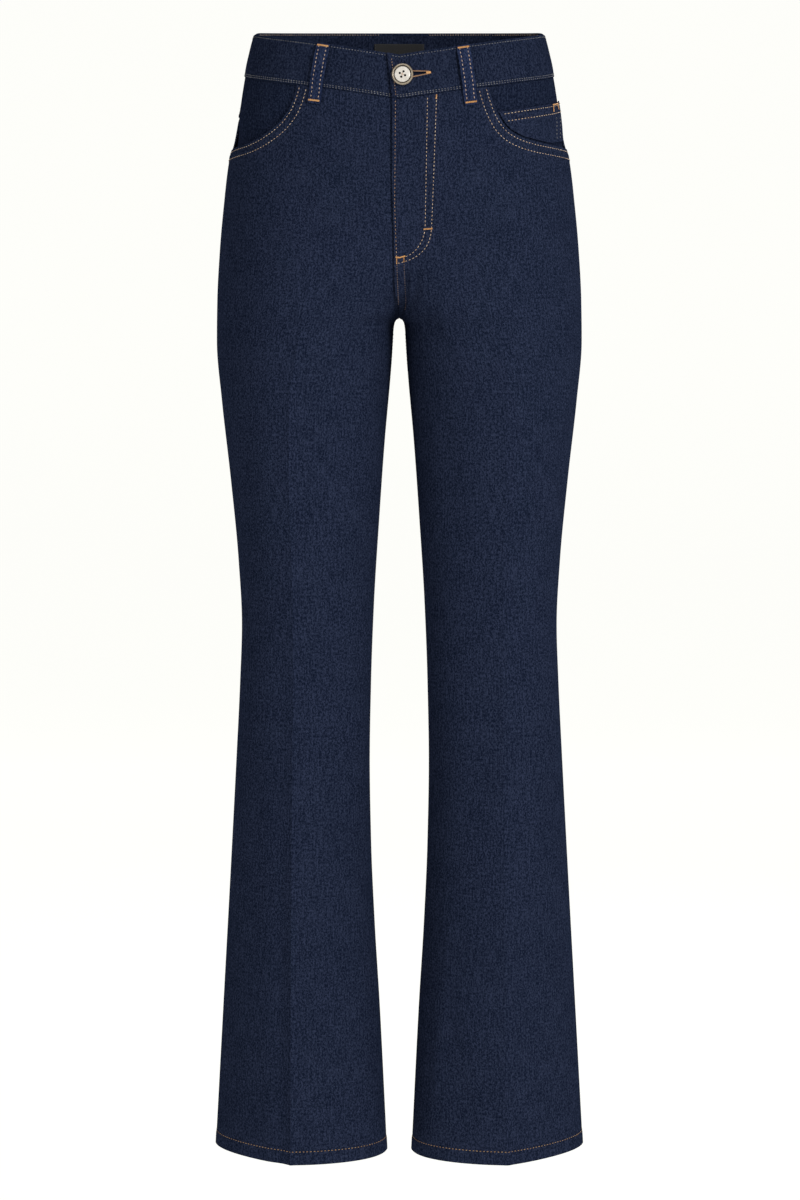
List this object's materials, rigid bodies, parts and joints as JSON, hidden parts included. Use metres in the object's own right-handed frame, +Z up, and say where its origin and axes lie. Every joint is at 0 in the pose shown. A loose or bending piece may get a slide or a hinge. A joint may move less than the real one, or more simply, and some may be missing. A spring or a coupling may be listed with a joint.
{
  "type": "pair of flared jeans",
  "caption": "Hollow pair of dark blue flared denim trousers with open waist and hems, front and back pockets, belt loops and a buttoned fly.",
  "frame": {"origin": "centre of the waist opening, level with the top of the waistband at the sides", "axes": "+Z up along the legs, -Y to the front, +X to the wearer's left"},
  "size_m": [0.3722, 0.2383, 1.1235],
  "materials": {
    "denim": "dark indigo denim, matt, fine diagonal twill",
    "button": "pearly off-white with a dark brown rim",
    "label": "plain black woven tape",
    "zip": "closed zip tape, dark, hidden behind the fly"
  },
  "bodies": {
    "root": {"front_panel_left": "denim", "front_panel_right": "denim", "back_panel_left": "denim", "back_panel_right": "denim", "yoke_left": "denim", "yoke_right": "denim", "pocket_facing_left": "denim", "pocket_facing_right": "denim", "back_pocket_left": "denim", "back_pocket_right": "denim", "coin_pocket": "denim", "waistband": "denim", "fly_shield": "denim", "belt_loop_1": "denim", "belt_loop_2": "denim", "belt_loop_3": "denim", "belt_loop_4": "denim", "belt_loop_5": "denim", "zip": "zip", "button": "button", "label": "label"}
  },
  "joints": []
}
